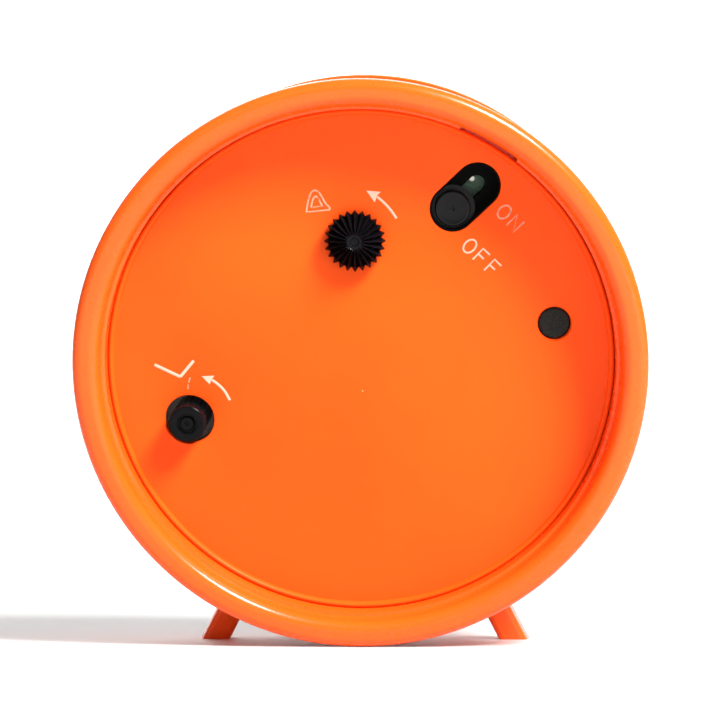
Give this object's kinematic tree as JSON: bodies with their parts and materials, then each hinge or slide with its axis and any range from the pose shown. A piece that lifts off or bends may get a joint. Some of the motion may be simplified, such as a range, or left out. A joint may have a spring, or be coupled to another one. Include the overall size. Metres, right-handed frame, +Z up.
{
  "type": "alarm clock",
  "caption": "Round analogue alarm clock that leans back on its rear rim and two pegs, with setting knobs, an alarm switch and a press button in a recessed back.",
  "frame": {"origin": "on the floor, at the middle of the whole clock's width and depth", "axes": "+Z up, +Y towards the back with the knobs, dial towards -Y; the clock's own axis leans 15 degrees back from level"},
  "size_m": [0.11, 0.072, 0.1172],
  "materials": {
    "case_plastic": "glossy moulded orange plastic",
    "black_plastic": "satin black plastic",
    "soft_black": "soft black rubber",
    "clear_lens": "clear polished lens",
    "dial_plastic": "matt ivory",
    "white_resin": "natural white moulding",
    "red_resin": "red moulding",
    "lamp_resin": "clear lamp body",
    "dark_hand": "matt black paint",
    "orange_hand": "orange paint",
    "board_laminate": "green laminate",
    "cell_sleeve": "printed sleeve over a steel can",
    "steel": "plated steel",
    "brass": "bare brass",
    "copper_wire": "enamelled copper winding"
  },
  "bodies": {
    "clock_body": {"case_shell": "case_plastic", "front_bezel": "case_plastic", "left_leg": "case_plastic", "right_leg": "case_plastic", "left_leg_screw": "steel", "right_leg_screw": "steel", "lens": "clear_lens", "lens_spacer": "dial_plastic", "dial": "dial_plastic", "dial_chassis": "white_resin", "chassis_screw_1": "steel", "chassis_screw_2": "steel", "chassis_screw_3": "steel", "dial_lamp": "lamp_resin", "movement_front_plate": "white_resin", "movement_frame": "white_resin", "movement_back_plate": "white_resin", "movement_screw_1": "steel", "movement_screw_2": "steel", "movement_screw_3": "steel", "stator_arm": "steel", "drive_coil": "copper_wire", "circuit_board": "board_laminate", "board_screw_1": "steel", "board_screw_2": "steel", "controller_chip": "black_plastic", "quartz_crystal": "steel", "sounder_disc": "brass", "alarm_switch_housing": "black_plastic", "press_switch_body": "black_plastic", "battery_tray": "white_resin", "battery_cell": "cell_sleeve", "positive_contact": "steel", "negative_contact": "steel"},
    "rear_cover": {"back_cover": "case_plastic", "crown_clip": "steel"},
    "alarm_crown": {"alarm_set_crown": "black_plastic"},
    "alarm_setting": {"alarm_set_shaft": "brass"},
    "alarm_idler_gear": {"alarm_idler": "red_resin"},
    "alarm_display": {"alarm_wheel": "red_resin", "alarm_hand": "orange_hand"},
    "time_setting": {"time_set_shaft": "brass", "time_set_knob": "black_plastic"},
    "time_idler_gear": {"time_set_idler": "white_resin"},
    "minute_display": {"minute_wheel": "white_resin", "minute_hand": "dark_hand"},
    "motion_gear": {"motion_wheel": "white_resin"},
    "hour_display": {"hour_wheel": "white_resin", "hour_hand": "dark_hand"},
    "second_display": {"second_wheel": "brass", "second_hand": "orange_hand"},
    "drive_gear": {"drive_wheel": "brass"},
    "motor_rotor": {"rotor": "steel"},
    "third_gear": {"third_wheel": "brass"},
    "centre_gear": {"centre_wheel": "brass"},
    "alarm_switch": {"alarm_slider": "black_plastic", "slider_contact": "brass"},
    "light_button": {"press_button": "soft_black"}
  },
  "joints": [
    {"name": "time_set_turn", "type": "hinge", "parent": "clock_body", "child": "time_setting", "pos_m": [0.03361, 0.01933, 0.04205], "axis": [0, 0.9659, -0.2588], "continuous": true},
    {"name": "time_idler_turn", "type": "hinge", "parent": "clock_body", "child": "time_idler_gear", "pos_m": [0.0203, 0.02047, 0.04627], "axis": [0, 0.9659, -0.2588], "continuous": true},
    {"name": "minute_hand_turn", "type": "hinge", "parent": "clock_body", "child": "minute_display", "pos_m": [0, 0.02219, 0.05272], "axis": [0, 0.9659, -0.2588], "continuous": true},
    {"name": "motion_wheel_turn", "type": "hinge", "parent": "clock_body", "child": "motion_gear", "pos_m": [-0.00904, 0.02134, 0.04954], "axis": [0, 0.9659, -0.2588], "continuous": true},
    {"name": "hour_hand_turn", "type": "hinge", "parent": "clock_body", "child": "hour_display", "pos_m": [0, 0.02219, 0.05272], "axis": [0, 0.9659, -0.2588], "continuous": true},
    {"name": "alarm_shaft_turn", "type": "hinge", "parent": "clock_body", "child": "alarm_setting", "pos_m": [0.0008, 0.02845, 0.07606], "axis": [0, 0.9659, -0.2588], "continuous": true},
    {"name": "alarm_crown_turn", "type": "hinge", "parent": "rear_cover", "child": "alarm_crown", "pos_m": [0.0008, 0.02845, 0.07606], "axis": [0, 0.9659, -0.2588], "continuous": true},
    {"name": "alarm_idler_turn", "type": "hinge", "parent": "clock_body", "child": "alarm_idler_gear", "pos_m": [0.00042, 0.02546, 0.0649], "axis": [0, 0.9659, -0.2588], "continuous": true},
    {"name": "alarm_hand_turn", "type": "hinge", "parent": "clock_body", "child": "alarm_display", "pos_m": [0, 0.02219, 0.05272], "axis": [0, 0.9659, -0.2588], "continuous": true},
    {"name": "second_hand_turn", "type": "hinge", "parent": "clock_body", "child": "second_display", "pos_m": [0, 0.02219, 0.05272], "axis": [0, 0.9659, -0.2588], "continuous": true},
    {"name": "drive_wheel_turn", "type": "hinge", "parent": "clock_body", "child": "drive_gear", "pos_m": [-0.00649, 0.02316, 0.05634], "axis": [0, 0.9659, -0.2588], "continuous": true},
    {"name": "rotor_turn", "type": "hinge", "parent": "clock_body", "child": "motor_rotor", "pos_m": [-0.01256, 0.02407, 0.05972], "axis": [0, 0.9659, -0.2588], "continuous": true},
    {"name": "third_wheel_turn", "type": "hinge", "parent": "clock_body", "child": "third_gear", "pos_m": [0.00233, 0.02445, 0.06114], "axis": [0, 0.9659, -0.2588], "continuous": true},
    {"name": "centre_wheel_turn", "type": "hinge", "parent": "clock_body", "child": "centre_gear", "pos_m": [0, 0.02219, 0.05272], "axis": [0, 0.9659, -0.2588], "continuous": true},
    {"name": "alarm_switch_slide", "type": "slide", "parent": "clock_body", "child": "alarm_switch", "axis": [-0.7314, 0.1765, 0.6588], "range_m": [0, 0.0065]},
    {"name": "press_button_travel", "type": "slide", "parent": "clock_body", "child": "light_button", "axis": [0, -0.9659, 0.2588], "range_m": [0, 0.0007], "stiffness_N_per_m": 400},
    {"name": "cover_lift", "type": "slide", "parent": "clock_body", "child": "rear_cover", "axis": [0, 0.9659, -0.2588], "range_m": [0, 0.025]}
  ],
  "couplings": [
    {"joint": "time_idler_turn", "follows": "time_set_turn", "ratio": -0.73913},
    {"joint": "minute_hand_turn", "follows": "time_set_turn", "ratio": 0.44737},
    {"joint": "motion_wheel_turn", "follows": "time_set_turn", "ratio": -0.14912},
    {"joint": "hour_hand_turn", "follows": "time_set_turn", "ratio": 0.037281},
    {"joint": "alarm_shaft_turn", "follows": "alarm_crown_turn", "ratio": 1},
    {"joint": "alarm_idler_turn", "follows": "alarm_crown_turn", "ratio": -1.0625},
    {"joint": "alarm_hand_turn", "follows": "alarm_crown_turn", "ratio": 0.85},
    {"joint": "drive_wheel_turn", "follows": "second_hand_turn", "ratio": -5},
    {"joint": "rotor_turn", "follows": "second_hand_turn", "ratio": 30},
    {"joint": "third_wheel_turn", "follows": "second_hand_turn", "ratio": -0.13333},
    {"joint": "centre_wheel_turn", "follows": "second_hand_turn", "ratio": 0.016667}
  ]
}
